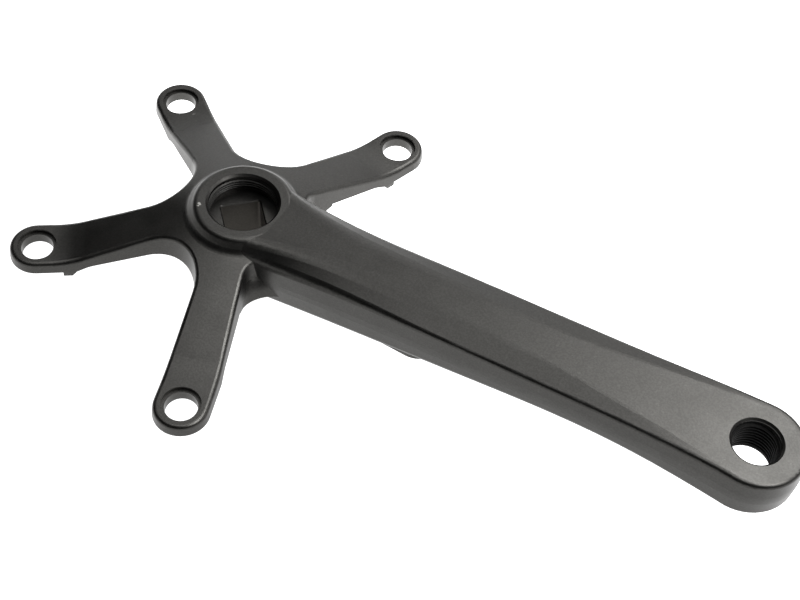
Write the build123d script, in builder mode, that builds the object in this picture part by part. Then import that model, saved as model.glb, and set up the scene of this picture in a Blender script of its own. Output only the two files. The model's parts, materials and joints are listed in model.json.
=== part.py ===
"""Drive-side bicycle crank arm with a five-arm chainring spider, forged in one piece. Sizes are in mm.

The origin is on the spindle axis, in the plane that the chainring seats on. +X runs to the pedal eye and +Z
points outward, away from the frame.
"""

import os
from math import hypot, radians, tan

from build123d import *

# Standard sizes that the mating parts set
crank_length = 170.0  # spindle axis to pedal axis
bolt_circle = 130.0  # chainring bolt circle, diameter
arm_count = 5
sleeve_hole = 10.0  # chainring bolt sleeve, diameter
sleeve_flange = 12.1  # counterbore for the sleeve's flange, diameter
sleeve_flange_depth = 1.4
chainring_bolt = 8.0  # tapped hole behind the blade, diameter
chainring_bolt_depth = 14.0  # its depth from the chainring's seat
extractor_bore = 22.0  # extractor thread, diameter
extractor_depth = 8.0  # hub face to the seat of the crank bolt's washer
pedal_bore = 14.29  # pedal thread, diameter
taper_across = 12.6  # spindle socket across its flats, at the washer's seat
taper_angle = 2.0  # each flat, degrees
taper_corner = 0.7  # radius in the corners of the socket

# Spider
tip_thickness = 4.8
tip_radius = 9.0
boss_radius = 8.0  # tip of the arm behind the blade
arm_root_radius = 8.4  # an arm's sides are tangent to this circle about the spindle axis and to its tip
gap_radius = 13.2  # radius between two bare arms
root_half_width = 14.0  # root of the blade in the outline of the arms
root_length = 31.0
root_gap_radius = 4.0  # radius between the blade and the arm beside it
gusset_low = 3.0  # inner side of the gussets beside the blade, at the hub
gusset_low_radius = 9.0  # radius of their corner there
gusset_high = 12.0  # where they have run into the sides of the arms
gusset_high_radius = 5.0
gusset_radius = 31.0  # where they run out on the back of the arms
gusset_steps = 3  # lengths between their cross-sections
draft_angle = 6.0  # of the arms' sides, degrees
dish_radius = 55.2  # where the outer slope of the arms reaches the tips
dish_angle = 20.7  # outer slope of the arms, degrees
dish_blend = 30.0
back_angle = 13.5  # inner slope of the arms, degrees
back_step = 4.4  # from the shoulder's foot inward to where the inner slope starts
back_blend_height = 2.2
back_blend = 12.0
seat_round = 2.0
register_radius = 57.5  # shoulder that centres the chainring
register_height = 1.6
register_width = 2.7
register_angle = 50.0  # inboard side of the shoulder, degrees
register_half_width = 8.0  # half of its length on a bare arm
register_boss_half_width = 5.0  # the same behind the blade
arm_edge = 1.4  # rounding of the outer edges
arm_back_edge = 0.9  # chamfer of the inner edges

# Hub
hub_face = 22.9  # outer face above the chainring's seat
hub_rim_radius = 15.2
hub_rim_round = 2.2
hub_foot_radius = 17.6
hub_foot_blend = 4.0
hub_back_radius = 17.0
hub_back_foot_radius = 19.5  # where the cone from the hub meets the inner slope of the arms
hub_back_chamfer = 1.2
bore_chamfer = 0.7
socket_chamfer = 0.4
relief_depth = 0.5  # runout groove of the extractor thread
relief_height = 1.3

# Blade
blade_start = 3.0  # inside the hub
blade_steps = 12  # lengths between the cross-sections of the blade
blade_half_width = 13.5
wall_bulge = 0.45  # the sides stand this much wider at mid-height
wall_round = 24.0
blade_edge = 1.5  # rounding of the outer edges
root_edge = 5.0  # the same at the hub
root_edge_end = 75.0  # where the rounding has run down to its normal size
blade_back_edge = 2.4  # rounding of the inner edges
crown_start = 13.5  # where the crown leaves the hub face
crown_end = 158.0  # where its slope would reach the face of the eye
crown_blend = 12.0  # length of the blend on each side of that corner
underside_start = 8.0  # where the underside leaves the back of the hub
underside_end = 127.8  # where its slope would reach the back of the eye
underside_blend = 27.0  # length of the blend on each side of that corner
spine_half_width = 5.6  # strip along the crown
spine_end = 108.0  # where the strip starts to widen into the eye
spine_round = 14.0  # ridge between the strip and a side facet, near the hub
spine_round_at_eye = 4.0
facet_drop = 4.7  # fall of the side facets, taken back to the spindle axis
flare_end = 50.0  # where the flare into the hub starts
wall_flare = 4.0  # extra half width of the blade at its outer edges, taken back to the spindle axis
spine_flare = 10.0  # extra half width of the strip, taken back to the spindle axis

# Pedal eye
eye_face = 34.0  # outer face above the chainring's seat
eye_thickness = 14.5
eye_radius = 14.9
eye_flare_start = 120.0  # where the blade starts to widen into the eye
eye_back_edge = 0.9  # rounding of the inner edge
eye_facet_width = 2.0
eye_facet_drop = 0.12
pedal_chamfer = 0.65

rim_slope = 0.8  # an edge that rises faster than this isn't part of an outline
hidden_fit = 0.08  # surfaces that would coincide inside the metal are set apart by this much

bolt_radius = bolt_circle / 2
sector = 360 / arm_count
bare_arms = {"count": arm_count - 1, "start_angle": sector, "angular_range": 360 - sector}
hub_back = -register_height
register_inner = register_radius - register_width
register_foot = register_inner - register_height / tan(radians(register_angle))
back_blend_radius = register_foot - back_step
eye_back = eye_face - eye_thickness
socket_seat = hub_face - extractor_depth
eye_plane = Plane(origin=(crank_length, 0, 0), x_dir=(0, 1, 0), z_dir=(1, 0, 0))
pedal_axis = Axis((crank_length, 0, 0), (0, 0, 1))


def distance(place):
    """Distance of a place from the spindle axis."""
    return hypot(place.X, place.Y)


def share(x, start, end):
    """Share of the way from start to end, held at 0 and 1 outside them."""
    return min(1.0, max(0.0, (x - start) / (end - start)))


def between(low, high, part):
    """Value that lies this part of the way from low to high."""
    return low + (high - low) * part


def arm_top(radius):
    """Height of the arms' outer side at a radius."""
    return tip_thickness + max(0, dish_radius - radius) * tan(radians(dish_angle))


def arm_back(radius):
    """Height of the arms' inner slope at a radius."""
    return back_blend_height + (back_blend_radius - radius) * tan(radians(back_angle))


def is_rim(edge):
    """Whether an edge runs along the outline of the arms, not up its side."""
    return abs(edge.tangent_at(0.5).Z) < rim_slope


def is_outer(edge):
    """Whether an edge of the spider's outline is on the outer side of the arms."""
    middle = edge.position_at(0.5)
    radius = distance(middle)
    return middle.Z > between(max(0, arm_back(radius)), arm_top(radius), 0.5)


def ramp(x, start, start_height, end, end_height, blend):
    """Height of a slope that a parabola blends into the level beyond its end."""
    slope = (end_height - start_height) / (end - start)
    run = end + blend - x
    if run <= 0:
        return end_height
    if run >= 2 * blend:
        return end_height - slope * (run - blend)
    return end_height - slope * run**2 / (4 * blend)


def underside(x):
    """Height of the blade's back at a distance from the spindle axis."""
    slope = ramp(x, underside_start, hub_back, underside_end, eye_back, underside_blend)
    return max(hub_back + hub_back_chamfer + hidden_fit, slope)


def arm_outline(inset):
    """Outline of an arm along +X, with its sides set in by this much."""
    with BuildSketch() as arm:
        Circle(arm_root_radius - inset)
        with Locations((bolt_radius, 0)):
            Circle(tip_radius - inset)
        make_hull()
    return arm.sketch


def half_section(x):
    """Corners of half of the blade's cross-section, from the back to the crown, with their radii."""
    near_hub = (1 - share(x, 0, flare_end)) ** 2
    near_eye = share(x, eye_flare_start, crank_length) ** 2
    half_width = between(blade_half_width, eye_radius, near_eye)
    side = half_width - wall_bulge
    flare = wall_flare * near_hub
    back = underside(x)
    crown = max(hub_face - hidden_fit, ramp(x, crown_start, hub_face, crown_end, eye_face, crown_blend))
    edge = crown - max(eye_facet_drop, facet_drop * (1 - x / crank_length))
    eye_spine = eye_radius - wall_bulge - eye_facet_width
    spine = between(spine_half_width, eye_spine, share(x, spine_end, crank_length)) + spine_flare * near_hub
    ridge = between(spine_round, spine_round_at_eye, share(x, flare_end, spine_end))
    ridge = between(hub_rim_round, ridge, share(x, blade_start, flare_end))
    return [
        ((0, back), 0),
        ((side, back), between(blade_back_edge, eye_back_edge, near_eye)),
        ((half_width + flare / 2, between(back, edge, 0.5)), wall_round),
        ((side + flare, edge), between(root_edge, blade_edge, share(x, blade_start, root_edge_end))),
        ((spine, crown), ridge),
        ((0, crown), 0),
    ]


def rounded(profile):
    """Edges of a closed outline through corners, each rounded by its own radius."""
    with BuildLine() as line:
        FilletPolyline(*[corner for corner, _ in profile], radius=[bend for _, bend in profile], close=True)
    return line.edges()


# Profiles that are turned about the spindle axis
stock_radius = bolt_radius + 2 * tip_radius
back_profile = [
    ((0, hub_back), 0),
    ((hub_back_radius - hub_back_chamfer, hub_back), 0),
    ((hub_back_radius, hub_back + hub_back_chamfer), 0),
    ((hub_back_radius, arm_back(hub_back_radius) - (hub_back_foot_radius - hub_back_radius)), 0),
    ((hub_back_foot_radius, arm_back(hub_back_foot_radius)), 0),
    ((back_blend_radius, back_blend_height), back_blend),
    ((register_foot, 0), seat_round),
    ((stock_radius, 0), 0),
]
front_profile = [
    ((stock_radius, tip_thickness), 0),
    ((dish_radius, tip_thickness), dish_blend),
    ((hub_foot_radius, arm_top(hub_foot_radius)), hub_foot_blend),
    ((hub_rim_radius, hub_face), hub_rim_round),
    ((0, hub_face), 0),
]

# Hub with the four bare arms
with BuildPart() as spider:
    with BuildSketch(Plane.XZ):
        make_face(rounded(back_profile + front_profile))
    revolve(axis=Axis.Z)
    with BuildSketch(Plane.XY.offset(hub_back)) as outline:
        with PolarLocations(0, **bare_arms):
            add(arm_outline(0))
        Rectangle(root_length, 2 * root_half_width, align=(Align.MIN, Align.CENTER))
        corners = outline.vertices().filter_by(lambda v: distance(v) < root_length)
        fillet(corners.filter_by(lambda v: v.X > 0), root_gap_radius)
        corners = outline.vertices().filter_by(lambda v: v.X < 0 and distance(v) < root_length)
        fillet(corners, gap_radius)
    extrude(amount=hub_face - hub_back, taper=draft_angle, mode=Mode.INTERSECT)
    rims = spider.edges(Select.NEW).filter_by(is_rim)
    rims = rims.filter_by(lambda e: e.position_at(0.5).X < root_length - hidden_fit)
    fillet(rims.filter_by(is_outer), arm_edge)
    chamfer(rims.filter_by(is_outer, reverse=True), arm_back_edge)

# Fifth arm, which ends in a boss on the back of the blade
boss_top = underside(bolt_radius + boss_radius) + blade_back_edge
with BuildPart() as fifth_arm:
    with BuildSketch(Plane.XZ):
        make_face(rounded(back_profile + [((stock_radius, boss_top), 0), ((0, boss_top), 0)]))
    revolve(axis=Axis.Z)
    with BuildSketch(Plane.XY.offset(hub_back)):
        Rectangle(bolt_radius, 2 * boss_radius, align=(Align.MIN, Align.CENTER))
        with Locations((bolt_radius, 0)):
            Circle(boss_radius)
    extrude(amount=boss_top - hub_back, mode=Mode.INTERSECT)
    rims = fifth_arm.edges(Select.NEW).filter_by(Axis.Z, reverse=True)
    rims = rims.filter_by(lambda e: e.position_at(0.5).Z < boss_top - hidden_fit)
    chamfer(rims.filter_by(lambda e: e.position_at(0.5).X > root_length), arm_back_edge)

# Gussets that deepen the roots of the arms beside the blade and widen them into it
with BuildPart() as gusset:
    for step in range(gusset_steps + 1):
        height = between(gusset_low, gusset_high, step / gusset_steps)
        bend = between(gusset_low_radius, gusset_high_radius, (step / gusset_steps) ** 3)
        inset = (height - hub_back) * tan(radians(draft_angle)) + hidden_fit
        with BuildSketch(Plane.XY.offset(height)) as level:
            with PolarLocations(0, 1, start_angle=sector):
                add(arm_outline(inset))
            Rectangle(root_length, root_half_width - inset, align=(Align.MIN, Align.MIN))
            corner = level.vertices().sort_by_distance((root_half_width, root_half_width, height))[0]
            fillet(corner, bend)
            Rectangle(root_length, root_length, align=(Align.MIN, Align.MIN), mode=Mode.INTERSECT)
    loft()
    with BuildSketch(Plane.XZ):
        with BuildLine():
            Polyline(
                (0, gusset_low),
                (hub_back_radius, gusset_low),
                (gusset_radius, arm_back(gusset_radius) + hidden_fit),
                (gusset_radius, gusset_high),
                (0, gusset_high),
                close=True,
            )
        make_face()
    revolve(axis=Axis.Z, mode=Mode.INTERSECT)
    mirror(about=Plane.XZ)

# Shoulder that centres the chainring, one length of it on each arm
with BuildPart() as register:
    with BuildSketch(Plane.XZ):
        with BuildLine():
            Polyline(
                (register_foot, 0),
                (register_inner, hub_back),
                (register_radius, hub_back),
                (register_radius, tip_thickness / 2),
                (register_foot, tip_thickness / 2),
                close=True,
            )
        make_face()
    revolve(axis=Axis.Z)
    with BuildSketch(Plane.XY.offset(hub_back)):
        with PolarLocations(0, **bare_arms):
            Rectangle(bolt_radius, 2 * register_half_width, align=(Align.MIN, Align.CENTER))
        Rectangle(bolt_radius, 2 * register_boss_half_width, align=(Align.MIN, Align.CENTER))
    extrude(amount=tip_thickness, mode=Mode.INTERSECT)

# Blade, lofted from the hub to the pedal axis and turned about it into the eye's round end
with BuildPart() as blade:
    for step in range(blade_steps + 1):
        x = between(blade_start, crank_length, step / blade_steps)
        with BuildSketch(Plane.YZ.offset(x)):
            make_face(rounded(half_section(x)))
    loft()
    with BuildSketch(eye_plane):
        make_face(rounded(half_section(crank_length)))
    revolve(axis=pedal_axis, revolution_arc=-90)
    mirror(about=Plane.XZ)

# Complete forging with its machined holes
with BuildPart() as crank_arm:
    add(spider.part)
    add(fifth_arm.part)
    add(gusset.part)
    add(register.part)
    add(blade.part)

    # Extractor bore with its runout groove
    with BuildSketch(Plane.XZ):
        with BuildLine():
            bore = extractor_bore / 2
            Polyline(
                (0, socket_seat),
                (bore + relief_depth, socket_seat),
                (bore + relief_depth, socket_seat + relief_height),
                (bore, socket_seat + relief_height + relief_depth),
                (bore, hub_face - bore_chamfer),
                (bore + 2 * bore_chamfer, hub_face + bore_chamfer),
                (0, hub_face + bore_chamfer),
                close=True,
            )
        make_face()
    revolve(axis=Axis.Z, mode=Mode.SUBTRACT)

    # Square socket for the spindle, with a corner towards the eye and a chamfer at its mouth
    with BuildSketch(Plane.XY.offset(socket_seat)):
        RectangleRounded(taper_across, taper_across, taper_corner, rotation=45)
    extrude(amount=hub_back - socket_seat, taper=-taper_angle, mode=Mode.SUBTRACT)
    with BuildSketch(Plane.XY.offset(socket_seat)):
        mouth = taper_across + 2 * socket_chamfer
        RectangleRounded(mouth, mouth, taper_corner + socket_chamfer, rotation=45)
    extrude(amount=-socket_chamfer, taper=45, mode=Mode.SUBTRACT)

    # Chainring bolt holes, the fifth of them blind
    with Locations(Plane.XY.offset(tip_thickness)):
        with PolarLocations(bolt_radius, **bare_arms):
            CounterBoreHole(sleeve_hole / 2, sleeve_flange / 2, sleeve_flange_depth, depth=2 * tip_thickness)
    with BuildSketch():
        with Locations((bolt_radius, 0)):
            Circle(sleeve_hole / 2)
    extrude(amount=tip_thickness, mode=Mode.SUBTRACT)
    with BuildSketch():
        with Locations((bolt_radius, 0)):
            Circle(chainring_bolt / 2)
    extrude(amount=chainring_bolt_depth, mode=Mode.SUBTRACT)

    # Pedal hole, chamfered at both ends
    with BuildSketch(eye_plane):
        with BuildLine():
            pedal = pedal_bore / 2
            Polyline(
                (0, eye_back - pedal_chamfer),
                (pedal + 2 * pedal_chamfer, eye_back - pedal_chamfer),
                (pedal, eye_back + pedal_chamfer),
                (pedal, eye_face - pedal_chamfer),
                (pedal + 2 * pedal_chamfer, eye_face + pedal_chamfer),
                (0, eye_face + pedal_chamfer),
                close=True,
            )
        make_face()
    revolve(axis=pedal_axis, mode=Mode.SUBTRACT)

crank_arm.part.label = "crank_arm"
os.makedirs("parts", exist_ok=True)
export_step(crank_arm.part, "parts/crank_arm.step")
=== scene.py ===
"""Dresses the bicycle crank arm: its satin black finish, the threads cut in its holes, and a studio table.

Every length is in metres, in the frame of the CAD model: the origin is on the spindle axis in the plane that
the chainring seats on, +X runs to the pedal eye and +Z points outward, away from the frame of the bicycle.
Every angle is in degrees.
"""

import json
import logging
from collections.abc import Sequence
from dataclasses import dataclass, replace
from enum import Enum
from math import cos, pi, radians, sin
from typing import Any

import bpy
from mathutils import Euler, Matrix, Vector

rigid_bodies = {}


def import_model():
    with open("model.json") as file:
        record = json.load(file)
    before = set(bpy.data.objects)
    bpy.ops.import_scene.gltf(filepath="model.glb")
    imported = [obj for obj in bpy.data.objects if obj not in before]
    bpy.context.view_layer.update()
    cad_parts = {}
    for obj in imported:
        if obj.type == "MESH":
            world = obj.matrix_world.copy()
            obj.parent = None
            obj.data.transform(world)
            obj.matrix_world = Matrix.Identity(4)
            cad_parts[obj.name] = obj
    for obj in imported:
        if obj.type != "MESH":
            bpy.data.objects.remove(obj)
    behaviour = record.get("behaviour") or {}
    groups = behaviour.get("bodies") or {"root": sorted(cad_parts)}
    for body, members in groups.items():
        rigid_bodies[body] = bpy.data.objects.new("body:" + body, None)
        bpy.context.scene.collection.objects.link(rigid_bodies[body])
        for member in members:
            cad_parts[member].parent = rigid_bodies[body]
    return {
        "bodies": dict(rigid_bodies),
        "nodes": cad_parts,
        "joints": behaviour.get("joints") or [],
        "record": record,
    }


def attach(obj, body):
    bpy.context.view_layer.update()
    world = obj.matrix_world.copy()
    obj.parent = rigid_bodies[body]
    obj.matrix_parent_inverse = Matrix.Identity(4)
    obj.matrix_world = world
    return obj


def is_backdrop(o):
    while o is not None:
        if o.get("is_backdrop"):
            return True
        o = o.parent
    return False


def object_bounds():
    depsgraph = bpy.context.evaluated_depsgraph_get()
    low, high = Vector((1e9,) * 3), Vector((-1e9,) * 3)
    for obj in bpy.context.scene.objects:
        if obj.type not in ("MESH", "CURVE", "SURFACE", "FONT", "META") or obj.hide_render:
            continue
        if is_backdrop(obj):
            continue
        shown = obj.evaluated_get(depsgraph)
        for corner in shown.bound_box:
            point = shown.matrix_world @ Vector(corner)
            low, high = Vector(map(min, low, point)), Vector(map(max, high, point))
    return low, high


log = logging.getLogger("crank_arm")

MM = 0.001

Triple = tuple[float, float, float]
Socket = bpy.types.NodeSocket


class Hand(Enum):
    """Which way a thread winds."""

    RIGHT = 1
    LEFT = -1


class Node(Enum):
    """Shader nodes that the finishes and the backdrop are made of."""

    PRINCIPLED = "ShaderNodeBsdfPrincipled"
    OUTPUT = "ShaderNodeOutputMaterial"
    PLACE = "ShaderNodeTexCoord"
    NOISE = "ShaderNodeTexNoise"
    RANGE = "ShaderNodeMapRange"
    MIX = "ShaderNodeMix"
    MATH = "ShaderNodeMath"
    VECTOR_MATH = "ShaderNodeVectorMath"
    SPLIT = "ShaderNodeSeparateXYZ"
    BUMP = "ShaderNodeBump"
    GROUP = "ShaderNodeGroup"
    GROUP_ENTRY = "NodeGroupInput"
    GROUP_RESULT = "NodeGroupOutput"
    BACKGROUND = "ShaderNodeBackground"
    BACKGROUND_OUTPUT = "ShaderNodeOutputWorld"
    LIGHT_PATH = "ShaderNodeLightPath"


class NodeSheet:
    """A node tree with short ways to add nodes and to join them.

    A mix node lists sockets for every kind of value, and the numbers below are those of its colours.
    """

    mix_colours = (6, 7)
    mix_result = 2

    def __init__(self, tree: bpy.types.NodeTree) -> None:
        """Starts on an empty tree.

        Args:
            tree: the tree of a material, of a node group or of the backdrop.
        """
        self.tree = tree
        self.tree.nodes.clear()

    def add(self, kind: Node, **settings: Any) -> bpy.types.Node:
        """Adds a node.

        Args:
            kind: the kind of node.
            settings: attributes of the node and their values.

        Returns:
            The new node.
        """
        node = self.tree.nodes.new(kind.value)
        for name, value in settings.items():
            setattr(node, name, value)
        return node

    def join(self, source: Socket, target: Socket) -> None:
        """Joins an output to an input."""
        self.tree.links.new(source, target)

    def shader(self) -> bpy.types.Node:
        """Adds the shader of a material.

        Returns:
            The shader, joined to the material's output.
        """
        shader = self.add(Node.PRINCIPLED)
        self.join(shader.outputs["BSDF"], self.add(Node.OUTPUT).inputs["Surface"])
        return shader

    def place(self) -> Socket:
        """Adds the object's own coordinates and returns them."""
        return self.add(Node.PLACE).outputs["Object"]

    def distance(self, place: Socket, point: Triple) -> Socket:
        """Measures how far a place is from a point.

        Args:
            place: the coordinates of the place.
            point: the point.

        Returns:
            The distance.
        """
        node = self.add(Node.VECTOR_MATH, operation="DISTANCE")
        node.inputs[1].default_value = point
        self.join(place, node.inputs[0])
        return node.outputs["Value"]

    def spread(self, value: Socket, low: float, high: float,
               to_low: float = 0.0, to_high: float = 1.0) -> Socket:
        """Spreads a range of values over another, smoothly and held at its ends.

        Args:
            value: the value to spread.
            low: the value that gives to_low.
            high: the value that gives to_high.
            to_low: the result at the low end.
            to_high: the result at the high end.

        Returns:
            The spread value.
        """
        node = self.add(Node.RANGE, interpolation_type="SMOOTHSTEP")
        for name, number in zip(("From Min", "From Max", "To Min", "To Max"), (low, high, to_low, to_high)):
            node.inputs[name].default_value = number
        self.join(value, node.inputs["Value"])
        return node.outputs["Result"]

    def blend(self, share: Socket, first: Triple | Socket, second: Triple | Socket) -> Socket:
        """Blends two colours.

        Args:
            share: how much of the second colour shows.
            first: a colour, or the output that gives it.
            second: a colour, or the output that gives it.

        Returns:
            The blended colour.
        """
        node = self.add(Node.MIX, data_type="RGBA")
        self.join(share, node.inputs["Factor"])
        for index, colour in zip(self.mix_colours, (first, second)):
            if isinstance(colour, Socket):
                self.join(colour, node.inputs[index])
            else:
                node.inputs[index].default_value = (*colour, 1.0)
        return node.outputs[self.mix_result]

    def total(self, *values: Socket) -> Socket:
        """Adds values up.

        Args:
            values: the values.

        Returns:
            Their sum.
        """
        result = values[0]
        for value in values[1:]:
            node = self.add(Node.MATH, operation="ADD")
            self.join(result, node.inputs[0])
            self.join(value, node.inputs[1])
            result = node.outputs[0]
        return result


@dataclass(frozen=True)
class GrainLayer:
    """One noise of the grain, with its number of finer octaves and the range of it that shows."""

    size_input: str
    output: str
    detail: float
    low: float
    high: float


class BlastedGrain:
    """Grain of a bead-blasted and coated surface, which every black finish shares as a node group."""

    name = "blasted grain"
    grain = GrainLayer("Grain size", "Grain", detail=2.0, low=0.36, high=0.64)
    flecks = GrainLayer("Fleck size", "Flecks", detail=1.0, low=0.62, high=0.8)
    mottle = GrainLayer("Mottle size", "Mottle", detail=3.0, low=0.32, high=0.68)
    layers = (grain, flecks, mottle)

    def __init__(self) -> None:
        """Builds the group once."""
        self.tree = bpy.data.node_groups.new(self.name, "ShaderNodeTree")
        face = self.tree.interface
        face.new_socket("Place", in_out="INPUT", socket_type="NodeSocketVector")
        for layer in self.layers:
            face.new_socket(layer.size_input, in_out="INPUT", socket_type="NodeSocketFloat")
            face.new_socket(layer.output, in_out="OUTPUT", socket_type="NodeSocketFloat")
        face.new_socket("Relief", in_out="OUTPUT", socket_type="NodeSocketFloat")
        sheet = NodeSheet(self.tree)
        entry = sheet.add(Node.GROUP_ENTRY)
        result = sheet.add(Node.GROUP_RESULT)
        for layer in self.layers:
            value = self.noise(sheet, entry, layer)
            sheet.join(sheet.spread(value, layer.low, layer.high), result.inputs[layer.output])
            if layer is self.grain:
                sheet.join(value, result.inputs["Relief"])

    @staticmethod
    def noise(sheet: NodeSheet, entry: bpy.types.Node, layer: GrainLayer) -> Socket:
        """Adds the noise of a layer, whose size is an input of the group.

        Args:
            sheet: the group's sheet.
            entry: the group's input node.
            layer: the layer.

        Returns:
            The noise value, around one half.
        """
        scale = sheet.add(Node.MATH, operation="DIVIDE")
        scale.inputs[0].default_value = 1.0
        sheet.join(entry.outputs[layer.size_input], scale.inputs[1])
        noise = sheet.add(Node.NOISE)
        noise.inputs["Detail"].default_value = layer.detail
        sheet.join(entry.outputs["Place"], noise.inputs["Vector"])
        sheet.join(scale.outputs[0], noise.inputs["Scale"])
        return noise.outputs["Fac"]

    def lay(self, sheet: NodeSheet, sizes: Triple) -> bpy.types.Node:
        """Lays the group on a material.

        Args:
            sheet: the material's sheet.
            sizes: the sizes of the grain, the flecks and the mottle.

        Returns:
            The group node.
        """
        node = sheet.add(Node.GROUP, node_tree=self.tree)
        sheet.join(sheet.place(), node.inputs["Place"])
        for layer, size in zip(self.layers, sizes):
            node.inputs[layer.size_input].default_value = size
        return node


@dataclass(frozen=True)
class Chip:
    """A small ragged chip in the coating, which shows a share of the bare metal."""

    place: Triple
    radius: float
    bareness: float
    core_share: float = 0.5
    ragged_share: float = 0.7

    def mask(self, sheet: NodeSheet, grain: Socket) -> Socket:
        """Masks the chip.

        Args:
            sheet: the material's sheet.
            grain: the grain that makes its outline ragged.

        Returns:
            A mask that is the chip's bareness in its core and 0 outside.
        """
        away = sheet.distance(sheet.place(), self.place)
        ragged = sheet.spread(grain, 0.0, 1.0, 0.0, self.ragged_share * self.radius)
        core = self.core_share * self.radius
        return sheet.spread(sheet.total(away, ragged), core, self.radius, self.bareness, 0.0)


@dataclass(frozen=True)
class CoatedAluminium:
    """Black coated aluminium, with a fine grain, faint flecks, a mottled gloss and a few chips."""

    name: str
    dark: Triple
    pale: Triple
    fleck: Triple
    roughness: tuple[float, float]
    grain_sizes: Triple
    bump: float
    bump_depth: float = 0.05 * MM
    metallic: float = 1.0
    shine: float = 0.5
    chips: tuple[Chip, ...] = ()
    bare_metal: Triple = (0.62, 0.61, 0.58)

    def build(self, grain: BlastedGrain) -> bpy.types.Material:
        """Builds the material.

        Args:
            grain: the grain that the black finishes share.

        Returns:
            The material.
        """
        material = bpy.data.materials.new(self.name)
        material.use_nodes = True
        sheet = NodeSheet(material.node_tree)
        shader = sheet.shader()
        coat = grain.lay(sheet, self.grain_sizes)
        bump = sheet.add(Node.BUMP)
        bump.inputs["Strength"].default_value = self.bump
        bump.inputs["Distance"].default_value = self.bump_depth
        shader.inputs["Metallic"].default_value = self.metallic
        shader.inputs["Specular IOR Level"].default_value = self.shine
        roughness = sheet.spread(coat.outputs["Mottle"], 0.0, 1.0, *self.roughness)
        sheet.join(self.colour(sheet, coat), shader.inputs["Base Color"])
        sheet.join(roughness, shader.inputs["Roughness"])
        sheet.join(coat.outputs["Relief"], bump.inputs["Height"])
        sheet.join(bump.outputs["Normal"], shader.inputs["Normal"])
        return material

    def colour(self, sheet: NodeSheet, coat: bpy.types.Node) -> Socket:
        """Colours the coat by its grain, its flecks and its chips.

        Args:
            sheet: the material's sheet.
            coat: the grain, as laid on the material.

        Returns:
            The colour.
        """
        colour = sheet.blend(coat.outputs["Grain"], self.dark, self.pale)
        colour = sheet.blend(coat.outputs["Flecks"], colour, self.fleck)
        if self.chips:
            bare = sheet.total(*(chip.mask(sheet, coat.outputs["Grain"]) for chip in self.chips))
            colour = sheet.blend(bare, colour, self.bare_metal)
        return colour


@dataclass(frozen=True)
class PaleTable:
    """Light table: a matt sheet lit from below, its glow painted brighter towards its far side, where the
    softboxes hang, and painted darker under the hub as the hub's shadow.
    """

    name: str = "pale_table"
    colour: Triple = (0.05, 0.05, 0.05)
    roughness: float = 0.9
    glow: float = 2.4
    near_share: float = 0.58
    near_edge: float = -20 * MM
    far_edge: float = 40 * MM
    # painted shadow: the glow's colour under the hub, where the part would shade the table
    painted_hub_shadow: Triple = (0.27, 0.255, 0.235)
    hub_shadow_middle: Triple = (0.0, 0.0, 0.0)
    hub_shadow_radius: float = 12 * MM
    hub_shadow_end: float = 24 * MM

    def build(self) -> bpy.types.Material:
        """Builds the material.

        Returns:
            The material.
        """
        material = bpy.data.materials.new(self.name)
        material.use_nodes = True
        sheet = NodeSheet(material.node_tree)
        shader = sheet.shader()
        shader.inputs["Base Color"].default_value = (*self.colour, 1.0)
        shader.inputs["Roughness"].default_value = self.roughness
        shader.inputs["Emission Strength"].default_value = self.glow
        place = sheet.place()
        split = sheet.add(Node.SPLIT)
        sheet.join(place, split.inputs[0])
        # painted light: the glow rises towards the far side, where the softboxes light the table
        far_side_painted_glow = sheet.spread(split.outputs["Y"], self.near_edge, self.far_edge, self.near_share, 1.0)
        away = sheet.distance(place, self.hub_shadow_middle)
        # painted shadow: the glow fades to the shadow colour in a disc around the hub
        outside_hub_shadow = sheet.spread(away, self.hub_shadow_radius, self.hub_shadow_end)
        sheet.join(sheet.blend(outside_hub_shadow, self.painted_hub_shadow, far_side_painted_glow), shader.inputs["Emission Color"])
        return material


@dataclass
class Forging:
    """The crank arm itself, which is the CAD model's own mesh with a better finish."""

    node: str = "crank_arm"
    finish: CoatedAluminium = CoatedAluminium(
        name="satin_black_coat",
        dark=(0.0482, 0.0472, 0.0448),
        pale=(0.0558, 0.0546, 0.0518),
        fleck=(0.062, 0.0607, 0.0576),
        roughness=(0.35, 0.39),
        grain_sizes=(0.6 * MM, 0.9 * MM, 9 * MM),
        bump=0.14,
        chips=(
            Chip(place=(-45.2 * MM, 35.5 * MM, 5.2 * MM), radius=0.9 * MM, bareness=0.14),
            Chip(place=(-10.6 * MM, -8.5 * MM, 22.8 * MM), radius=1.1 * MM, bareness=0.55),
        ),
    )

    def dress(self, frame: dict[str, Any], grain: BlastedGrain) -> bpy.types.Object:
        """Gives the CAD mesh its finish.

        Args:
            grain: the grain that the black finishes share.

        Returns:
            The dressed object.
        """
        piece = frame["nodes"][self.node]
        piece.data.materials.clear()
        piece.data.materials.append(self.finish.build(grain))
        return piece


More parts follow.
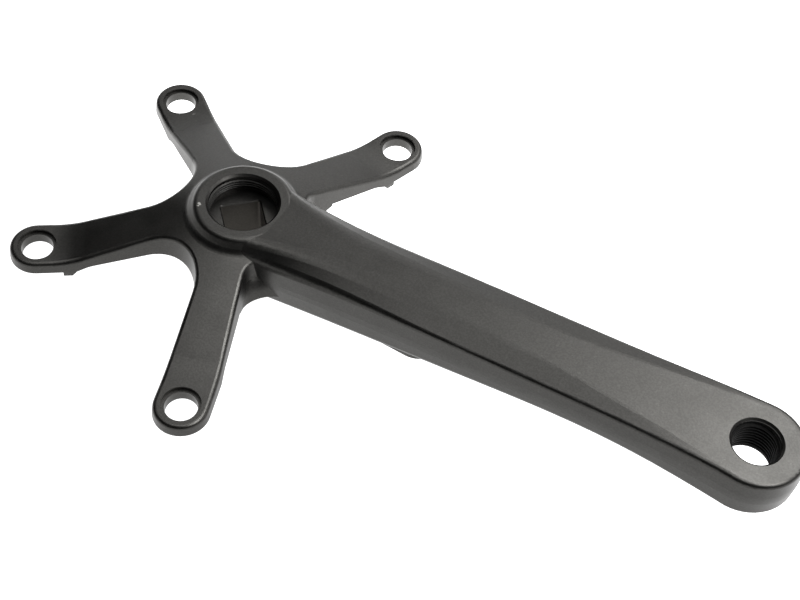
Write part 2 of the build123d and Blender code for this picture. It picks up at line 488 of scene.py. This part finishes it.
@dataclass
class CutThread:
    """Ridges of a thread, which wind up the wall of a hole and stand in from it.

    The shares are of the pitch: the ridge's depth, the width of its foot and the width of its crest.
    """

    name: str
    centre: tuple[float, float]
    low: float
    high: float
    wall: float
    pitch: float
    hand: Hand = Hand.RIGHT
    steps_per_turn: int = 72
    depth_share: float = 0.54
    foot_share: float = 0.86
    crest_share: float = 0.25
    runout_turns: float = 0.6
    bury: float = 0.05 * MM
    sharp_angle: float = 30.0

    def build(self, material: bpy.types.Material, slot: str) -> bpy.types.Object:
        """Builds the ridges.

        Args:
            material: the finish of the thread.
            slot: the record's material slot that the finish belongs to; not used.

        Returns:
            The thread, riding on the part.
        """
        turns = (self.high - self.low) / self.pitch - self.foot_share
        steps = int(turns * self.steps_per_turn)
        sections = [self.section(turns * step / steps, turns) for step in range(steps + 1)]
        mesh = bpy.data.meshes.new(self.name)
        mesh.from_pydata([point for section in sections for point in section], [], self.faces(sections))
        mesh.polygons.foreach_set("use_smooth", [True] * len(mesh.polygons))
        mesh.set_sharp_from_angle(angle=radians(self.sharp_angle))
        mesh.materials.append(material)
        piece = bpy.data.objects.new(self.name, mesh)
        bpy.context.scene.collection.objects.link(piece)
        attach(piece, "root")
        return piece

    def section(self, turn: float, turns: float) -> list[Triple]:
        """Cuts the ridge across.

        Args:
            turn: how many turns from the lower end the cut is.
            turns: how many turns the thread has.

        Returns:
            The corners of the ridge there, from its lower foot over the crest to its upper foot.
        """
        near_end = min(1.0, min(turn, turns - turn) / self.runout_turns)
        crest = self.wall - self.depth_share * self.pitch * near_end
        root = self.wall + self.bury
        middle = self.low + (turn + self.foot_share / 2) * self.pitch
        angle = 2 * pi * turn * self.hand.value
        foot = self.foot_share * self.pitch / 2
        top = self.crest_share * self.pitch / 2
        corners = ((root, -foot), (crest, -top), (crest, top), (root, foot))
        return [
            (self.centre[0] + radius * cos(angle), self.centre[1] + radius * sin(angle), middle + rise)
            for radius, rise in corners
        ]

    @staticmethod
    def faces(sections: list[list[Triple]]) -> list[tuple[int, ...]]:
        """Skins the ridge from section to section and closes its two ends.

        Args:
            sections: the sections, each with its corners in the same order.

        Returns:
            The faces, as numbers of the corners.
        """
        sides = len(sections[0])
        last = sides * (len(sections) - 1)
        faces = [tuple(reversed(range(sides))), tuple(range(last, last + sides))]
        for first in range(0, last, sides):
            for corner in range(sides):
                here = first + corner
                beside = first + (corner + 1) % sides
                faces.append((here, beside, beside + sides, here + sides))
        return faces


@dataclass
class Threads:
    """Threads of the extractor bore, the pedal eye and the chainring bolt behind the blade."""

    slot: str = "satin_black"
    extractor_pitch: float = 1.0 * MM
    pedal_pitch: float = 1.27 * MM
    pedal_foot_share: float = 0.99
    ring_bolt_pitch: float = 0.75 * MM
    ring_bolt_radius: float = 4.0 * MM
    ring_bolt_low: float = 4.9 * MM
    ring_bolt_high: float = 13.2 * MM
    # Darker than the coat: partly the cut thread's own black tone, partly painted shade deep in the bores.
    cut_finish_with_painted_shade: CoatedAluminium = CoatedAluminium(
        name="cut_black_thread",
        dark=(0.014, 0.0138, 0.0132),
        pale=(0.018, 0.0177, 0.0169),
        fleck=(0.024, 0.0236, 0.0226),
        roughness=(0.34, 0.44),
        grain_sizes=(0.4 * MM, 0.6 * MM, 5 * MM),
        bump=0.12,
    )
    # painted shade: the pedal eye's thread is coloured near black for the shade deep in its flanks
    painted_shade_finish: CoatedAluminium = CoatedAluminium(
        name="oiled_black_thread",
        dark=(0.006, 0.006, 0.0058),
        pale=(0.009, 0.0089, 0.0086),
        fleck=(0.014, 0.0138, 0.0134),
        roughness=(0.42, 0.5),
        grain_sizes=(0.4 * MM, 0.6 * MM, 5 * MM),
        bump=0.12,
        metallic=0.0,
        shine=0.03,
    )

    def build(self, frame: dict[str, Any], grain: BlastedGrain) -> list[bpy.types.Object]:
        """Builds the threads in the holes that the record's mounts give.

        Args:
            grain: the grain that the black finishes share.

        Returns:
            The threads.
        """
        mounts = {mount["name"]: mount for mount in frame["record"]["mounts"]}
        extractor = self.in_mount(mounts["extractor_thread"], self.extractor_pitch)
        pedal = self.in_mount(mounts["pedal_thread"], self.pedal_pitch)
        pedal = replace(pedal, foot_share=self.pedal_foot_share)
        ring_bolt = CutThread(
            name="ring_bolt_thread",
            centre=(mounts["chainring_bolts"]["dims"]["pcd_mm"] / 2 * MM, 0.0),
            low=self.ring_bolt_low,
            high=self.ring_bolt_high,
            wall=self.ring_bolt_radius,
            pitch=self.ring_bolt_pitch,
        )
        # cut: finish of the extractor and ring bolt threads, partly painted shade of their bores
        cut = self.cut_finish_with_painted_shade.build(grain)
        # painted shade finish for the pedal eye's thread
        painted_shade = self.painted_shade_finish.build(grain)
        pairs = ((extractor, cut), (pedal, painted_shade), (ring_bolt, cut))
        return [thread.build(material, self.slot) for thread, material in pairs]

    @staticmethod
    def in_mount(mount: dict[str, Any], pitch: float) -> CutThread:
        """Sizes a thread for a threaded hole.

        Args:
            mount: the hole, as a mount of the record.
            pitch: the thread's pitch.

        Returns:
            The thread.
        """
        x, y, middle = mount["pos_m"]
        half = mount["dims"]["length_mm"] / 2 * MM
        wall = mount["dims"]["r_mm"] * MM
        return CutThread(mount["name"], (x, y), middle - half, middle + half, wall, pitch)


@dataclass(frozen=True)
class Softbox:
    """A square area light that hangs around the object and faces its middle.

    Its turn runs from +X towards +Y and its height up from the table.
    """

    turn: float
    height: float
    power: float
    distance: float = 1.1
    size: float = 0.45
    aim: Triple = (80 * MM, 0.0, 20 * MM)

    def build(self) -> bpy.types.Object:
        """Builds the light.

        Returns:
            The light, which the camera doesn't see.
        """
        name = f"softbox_{self.turn:.0f}_{self.height:.0f}"
        light = bpy.data.lights.new(name, "AREA")
        light.shape = "SQUARE"
        light.size = self.size
        light.energy = self.power
        lamp = bpy.data.objects.new(name, light)
        bpy.context.scene.collection.objects.link(lamp)
        turn, height = radians(self.turn), radians(self.height)
        outward = Vector((cos(height) * cos(turn), cos(height) * sin(turn), sin(height)))
        lamp.location = Vector(self.aim) + self.distance * outward
        lamp.rotation_euler = (-outward).to_track_quat("-Z", "Y").to_euler()
        lamp.visible_camera = False
        return lamp


@dataclass
class Studio:
    """Light table, softboxes mostly over its far side, and the camera at the photograph's angle."""

    table: PaleTable = PaleTable()
    table_size: float = 6.0
    table_gap: float = 0.02 * MM
    backdrop: Triple = (1.0, 1.0, 1.0)
    camera_place: Triple = (175.1 * MM, -243.8 * MM, 372.7 * MM)
    camera_turn: Triple = (36.93, -3.88, 30.93)
    camera_lens: float = 66.46
    camera_nearest: float = 10 * MM
    sensor_width: float = 36.0
    softboxes: tuple[Softbox, ...] = (
        Softbox(turn=0, height=62, power=6.0),
        Softbox(turn=30, height=62, power=4.5),
        Softbox(turn=83, height=62, power=5.8),
        Softbox(turn=135, height=62, power=0.8),
        Softbox(turn=190, height=62, power=1.1),
        Softbox(turn=240, height=80, power=2.0),
        Softbox(turn=0, height=42, power=2.2),
        Softbox(turn=70, height=42, power=1.6),
        Softbox(turn=100, height=42, power=1.5),
        Softbox(turn=140, height=42, power=0.4),
        Softbox(turn=40, height=20, power=1.5),
        Softbox(turn=70, height=20, power=0.5),
        Softbox(turn=110, height=20, power=1.0),
        Softbox(turn=140, height=20, power=0.9),
    )

    def build(self, lowest: float) -> None:
        """Builds the table, the lights, the backdrop and the camera.

        Args:
            lowest: the height of the part's lowest point.
        """
        self.lay_table(lowest - self.table_gap)
        for softbox in self.softboxes:
            softbox.build()
        self.hang_backdrop()
        self.set_camera()

    def lay_table(self, height: float) -> None:
        """Lays the table's top.

        Args:
            height: its height.
        """
        half = self.table_size / 2
        square = ((-half, -half), (half, -half), (half, half), (-half, half))
        mesh = bpy.data.meshes.new("table")
        mesh.from_pydata([(x, y, height) for x, y in square], [], [range(len(square))])
        mesh.materials.append(self.table.build())
        floor = bpy.data.objects.new("table", mesh)
        bpy.context.scene.collection.objects.link(floor)
        floor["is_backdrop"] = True

    def hang_backdrop(self) -> None:
        """Hangs a white backdrop that only the camera sees, so the room stays dark and colours plain."""
        world = bpy.data.worlds.new("studio")
        world.use_nodes = True
        sheet = NodeSheet(world.node_tree)
        background = sheet.add(Node.BACKGROUND)
        background.inputs["Color"].default_value = (*self.backdrop, 1.0)
        path = sheet.add(Node.LIGHT_PATH)
        sheet.join(path.outputs["Is Camera Ray"], background.inputs["Strength"])
        output = sheet.add(Node.BACKGROUND_OUTPUT)
        sheet.join(background.outputs["Background"], output.inputs["Surface"])
        bpy.context.scene.world = world
        bpy.context.scene.view_settings.view_transform = "Standard"

    def set_camera(self) -> None:
        """Sets the camera where the photograph was taken from."""
        lens = bpy.data.cameras.new("camera")
        lens.lens = self.camera_lens
        lens.sensor_width = self.sensor_width
        lens.clip_start = self.camera_nearest
        camera = bpy.data.objects.new("camera", lens)
        bpy.context.scene.collection.objects.link(camera)
        camera.location = self.camera_place
        camera.rotation_euler = Euler([radians(turn) for turn in self.camera_turn])
        bpy.context.scene.camera = camera


def main() -> None:
    """Builds the dressed part and its studio, and reports each piece."""
    logging.basicConfig(level=logging.INFO, format="%(name)s: %(message)s")
    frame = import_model()
    cad_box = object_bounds()
    grain = BlastedGrain()
    forging = Forging().dress(frame, grain)
    log.info("%s dressed", forging.name)
    for thread in Threads().build(frame, grain):
        log.info("%s built with %d faces", thread.name, len(thread.data.polygons))
    Studio().build(cad_box[0][2])


if __name__ == "__main__":
    main()
